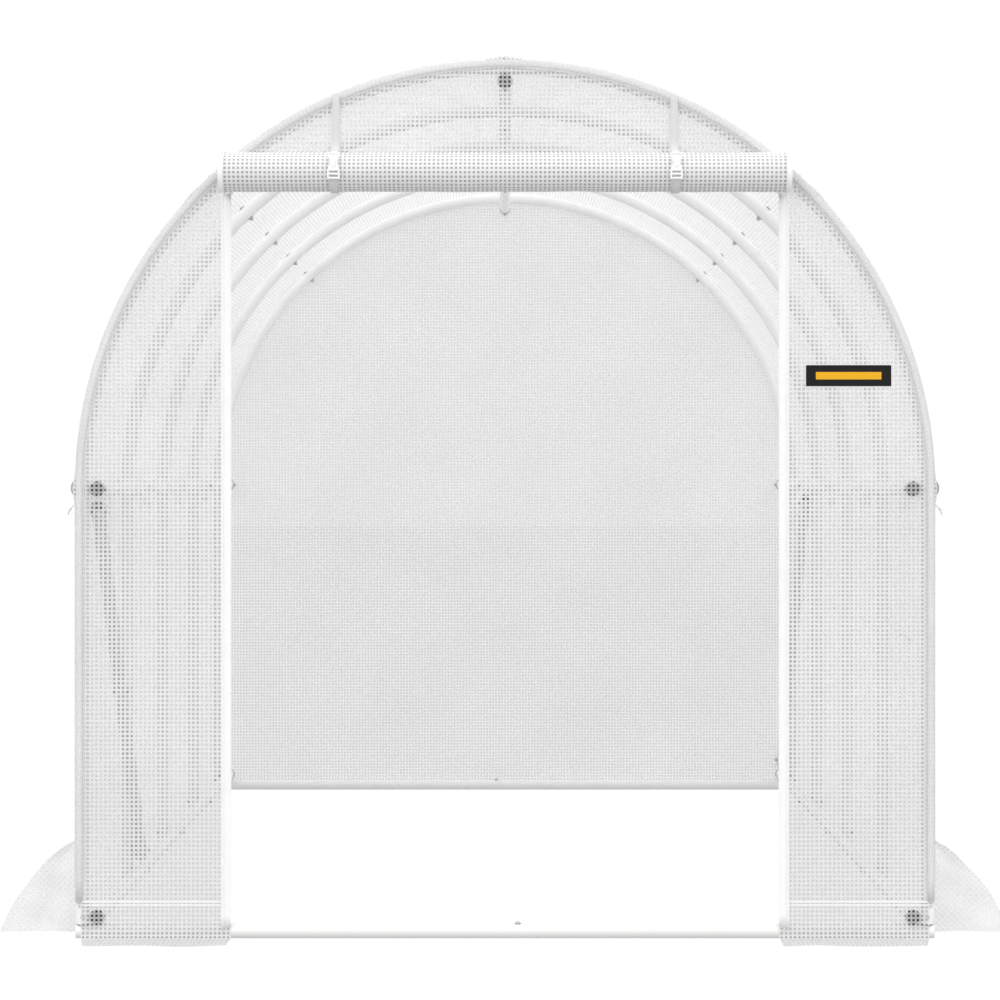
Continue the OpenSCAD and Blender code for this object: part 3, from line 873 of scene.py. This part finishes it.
plastic_material = toned("white_moulded_plastic", (0.86, 0.86, 0.855), (0.93, 0.93, 0.925), 0.38,
                         lambda tree: noise(tree, 500.0, 2.0), 0.15, 0.0002)
buckle_parts = []
for x in (-strap_x, strap_x):
    body = np.array([[(-w + 0.002, -0.0033), (w - 0.002, -0.0033), (w, -0.0012), (w, 0.0022),
                      (w - 0.002, 0.0040), (-w + 0.002, 0.0040), (-w, 0.0022), (-w, -0.0012)]
                     for _, w in body_stations])
    body[[0, -1]] *= [0.94, 0.75]
    path = [(x, buckle_y + 0.004, buckle_z + up * buckle_half) for up, _ in body_stations]
    buckle_parts.append(swept(path, (1, 0, 0), body))
    for up, half_z in ((0.925, 0.0024), (-0.63, 0.0024), (-0.94, 0.0022)):
        buckle_parts.append(bar(x, buckle_z + up * buckle_half, 0.0150, half_z, 0.0052, buckle_y + 0.0006))
    for up, half_z in ((0.80, 0.0050), (-0.66, 0.0095)):
        for out in (-0.0129, 0.0129):
            buckle_parts.append(bar(x + out, buckle_z + up * buckle_half, 0.0021, half_z, 0.0050,
                                    buckle_y + 0.0009))
    buckle_parts.append(bar(x, buckle_z + 0.16 * buckle_half, 0.0048, 0.0085, 0.0012, buckle_y - 0.0008))
buckles = make_piece("door_buckle_parts", joined(*buckle_parts), plastic_material, smooth=False,
                     solid=True)
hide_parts("door_buckles")

# --------------------------------------------------
# Zips and seams: white zip tape with its coil down both sides of the doorway, a narrow hem beside
# it, two sewn lines across the panels' foot, and a doubled band of film round both rims.
zip_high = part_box("zip_tapes")[1]
zip_w = zip_high.x - door_x
zip_y = -(panel_y + 0.0016)
hem_w = 0.009
seam_w = 0.0045
rim_band_w = 0.016
rim_band_r = rim_r - 0.0095
tapes, coils, hems = [], [], []
for side in (-1, 1):
    z = np.linspace(zip_high.z, 0.030, 60)
    path = lined(side * (door_x + zip_w / 2), zip_y + 0.0007 * waves(z, z * 0, 0.3, 71), z)
    tapes.append(swept(path, (1, 0, 0), band(zip_w, 0.0016)))
    z = np.arange(0.045, zip_high.z - 0.01, 0.0030)
    coils.append(scattered(turned([(0.0010, 0.0), (0.0014, 0.0008), (0.0014, 0.0022), (0.0010, 0.0030)], 6),
                           lined(side * (door_x - 0.0010), zip_y, z), lined(side, 0, z * 0)))
    path = lined(side * (door_x + zip_w + 0.0035), zip_y + 0.0006, np.linspace(door_h - 0.03, 0.024, 60))
    hems.append(swept(path, (1, 0, 0), band(hem_w, 0.0008)))
    x = np.linspace(door_x + zip_w + 0.008, rim_r - 0.014, 30) * side
    for up in (0.002, -0.006):
        hems.append(swept(lined(x, -(panel_y + 0.0009), flap_h + up), (0, 0, 1), band(seam_w, 0.0008)))
zips = make_piece("zip_tape_pair", joined(*tapes), tape_material, solid=True)
make_piece("zip_coils", joined(*coils), plastic_material, smooth=False, solid=True)
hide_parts("zip_tapes")
hem_material = toned("doubled_white_film", (0.80, 0.805, 0.80), (0.88, 0.885, 0.88), 0.5,
                     lambda tree: noise(tree, 60.0, 3.0), 0.4, 0.0008)
make_piece("front_hems", joined(*hems), hem_material, solid=True)

rim_material = film_cloth("grid_film_seam", 0.82, 0.80, (0.88, 0.885, 0.88), white, 0.3)
turn = np.linspace(0, math.pi, 90)
right = lined(rim_band_r, 0.0, np.linspace(flap_h + 0.004, leg_top - 0.02, 20))
arc = lined(np.cos(turn) * rim_band_r, 0.0, leg_top + np.sin(turn) * rim_band_r)
rim_parts = []
for end in (-1, 1):
    ring = np.concatenate([right, arc, right[::-1] * [-1, 1, 1]]) + [0, end * (panel_y + 0.0017), 0]
    rim_parts.append(swept(ring, (0, end, 0), band(0.0006, rim_band_w)))
make_piece("rim_seams", joined(*rim_parts), rim_material, solid=True)

# --------------------------------------------------
# Windows: fine white insect mesh inside each opening, a hemmed edge round it, and above it the
# cut-out flap rolled up and held by two short ties with toggles.
mesh_h = window_high - window_low + 2 * mesh_lap
mesh_w = window_w + 2 * mesh_lap
flap_low, flap_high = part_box("window_rolls_right")
flap_roll_r = (flap_high.z - flap_low.z) / 2
flap_roll_x = flap_high.x - flap_roll_r + 0.008
flap_roll_z = (flap_high.z + flap_low.z) / 2
flap_roll_half = (flap_high.y - flap_low.y - 3 * bay) / 2
flap_length = 0.37
flap_layer = 0.0052
tie_off = 0.105          # ties' distance from the window's middle
tie_r = flap_roll_r + 0.0008
corner_lap = 0.004       # side hems' overlap at the corners
mesh_material, mesh_tree, mesh_shader = new_material("white_insect_mesh")
mesh_mask = grid_node(mesh_tree, 0.0016, 0.42, 0.10).outputs["Tape Mask"]
fill(mesh_tree, mesh_shader, {
    "Base Color": blend(mesh_tree, noise(mesh_tree, 6.0), (0.86, 0.865, 0.86), (0.93, 0.935, 0.93)),
    "Alpha": ranged(mesh_tree, mesh_mask, 0.0, 1.0, 0.0, 1.0), "Roughness": 0.6})
toggle_part = turned([(0.0022, -0.009), (0.0042, -0.0082), (0.0046, -0.003), (0.0030, 0.0), (0.0046, 0.003),
                      (0.0042, 0.0082), (0.0022, 0.009)], 14)
for side, name in ((-1, "left"), (1, "right")):
    patches, frames, flaps, closed_ends, ties, toggles = [], [], [], [], [], []
    for number, start in enumerate(window_starts):
        end = start + window_w
        y_mid = start + window_w / 2
        up, along = np.linspace(0, 1, 19)[:, None], np.linspace(0, 1, 15)[None]
        inset = 0.0030 + 0.0012 * np.sin(np.pi * up) * np.sin(np.pi * along)
        y, z = start - mesh_lap + along * mesh_w, window_low - mesh_lap + up * mesh_h
        points = lined(side * (cover_mid - inset), y, z)
        patches.append(facing(points, points[..., 1:], (side, 0, 0)))
        for width_dir, (y0, z0), (y1, z1) in (
                ((0, 0, 1), (start - corner_lap, window_low), (end + corner_lap, window_low)),
                ((0, 0, 1), (start - corner_lap, window_high), (end + corner_lap, window_high)),
                ((0, 1, 0), (start, window_low), (start, window_high)),
                ((0, 1, 0), (end, window_low), (end, window_high))):
            share = np.linspace(0, 1, 12)
            y = y0 + (y1 - y0) * share
            sag = -0.003 * np.sin(nearest_hoop(y) * np.pi / 2) ** 2
            path = lined(side * (cover_mid + sag + 0.0016), y, z0 + (z1 - z0) * share)
            frames.append(swept(path, width_dir, band(0.012, 0.0012)))
        centre = np.array([side * flap_roll_x, y_mid, flap_roll_z])
        points, uv, flap_wound = rolled(centre, flap_roll_r - 0.001, flap_layer, flap_length, flap_roll_half,
                                        math.pi if side > 0 else 0.0, side, False, 0.02, 81 + number + side)
        flaps.append(facing(points, uv, points[0, 0] - centre))
        closed_ends.append(roll_ends(centre, flap_roll_r, flap_roll_half - 0.004, 32, (0, 1, 0)))
        for tie_y in (y_mid - tie_off, y_mid + tie_off):
            turn = np.linspace(math.radians(190), math.radians(-75), 40)
            loop = lined(side * (flap_roll_x + tie_r * np.cos(turn)), tie_y,
                         flap_roll_z + tie_r * np.sin(turn))
            fall = np.linspace(0, 1, 12)[1:, None]
            tail = loop[-1] + fall * [side * 0.034, 0.004, -0.040]
            tail += np.sin(fall * np.pi) * [side * 0.006, 0, 0]
            ties.append(swept(np.concatenate([loop, tail]), (0, 1, 0), band(0.010, 0.0012)))
            toggles.append(scattered(toggle_part, [tail[6] + [side * 0.003, 0, 0]], [(0.0, 1.0, 0.1)]))
    mesh_piece = make_piece(f"insect_mesh_{name}", joined(*patches), mesh_material)
    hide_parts(f"window_mesh_{name}")
    make_piece(f"window_hems_{name}", joined(*frames), tape_material, solid=True)
    flap_piece = make_piece(f"window_flaps_{name}", joined(*flaps), rolled_film_painted_shade)
    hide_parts(f"window_rolls_{name}")
    ends = make_piece(f"window_flap_ends_{name}", joined(*closed_ends), roll_end_painted_shade, smooth=False,
                      solid=True)
    tie_piece = make_piece(f"window_ties_{name}", joined(*ties), webbing_material, solid=True)
    toggle_piece = make_piece(f"window_toggles_{name}", joined(*toggles), plastic_material,
                              solid=True)

# --------------------------------------------------
# Label: plain black woven label with a thin white edge and one plain yellow bar. It is sewn flat
# on the front cloth, which hangs without folds behind it.
label_low, label_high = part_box("label_plate")
label_hx, label_hz = (label_high.x - label_low.x) / 2, (label_high.z - label_low.z) / 2
label_front = -(panel_y + 0.0022)
label_material, label_tree, label_shader = new_material("black_label")
label_split = node(label_tree, "SeparateXYZ", {0: cloth_map(label_tree)})


def inside_mask(half_x, half_z):
    """1 inside the centred rectangle of the label's map, 0 outside."""
    marks = [maths(label_tree, "LESS_THAN", maths(label_tree, "ABSOLUTE", label_split.outputs[axis]), half)
             for axis, half in (("X", half_x), ("Y", half_z))]
    return maths(label_tree, "MULTIPLY", *marks)


label_weave = noise(label_tree, 900.0, 2.0)
label_black = blend(label_tree, label_weave, (0.010, 0.010, 0.010), (0.020, 0.020, 0.020))
label_field = inside_mask(label_hx - 0.0009, label_hz - 0.0009)
label_edge = blend(label_tree, label_field, (0.85, 0.85, 0.84), label_black)
label_bar = inside_mask(label_hx * 0.76, label_hz * 0.34)
label_tone = blend(label_tree, label_bar, label_edge, (0.80, 0.42, 0.02))
fill(label_tree, label_shader, {"Base Color": label_tone, "Roughness": 0.7, "Specular IOR Level": 0.12})
bumped(label_tree, label_shader, label_weave, 0.3, 0.0003)
label_path = [(label_x, label_front + 0.0012, label_z), (label_x, label_front, label_z)]
label_outline = [(x * label_hx, z * label_hz) for x, z in square_turns]
points, loops, starts, _ = swept(label_path, (1, 0, 0), label_outline)
uv = (points[loops] - [label_x, 0, label_z])[:, [0, 2]]
label_piece = make_piece("sewn_label", (points, loops, starts, uv), label_material, smooth=False,
                         solid=True)
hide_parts("label_plate")
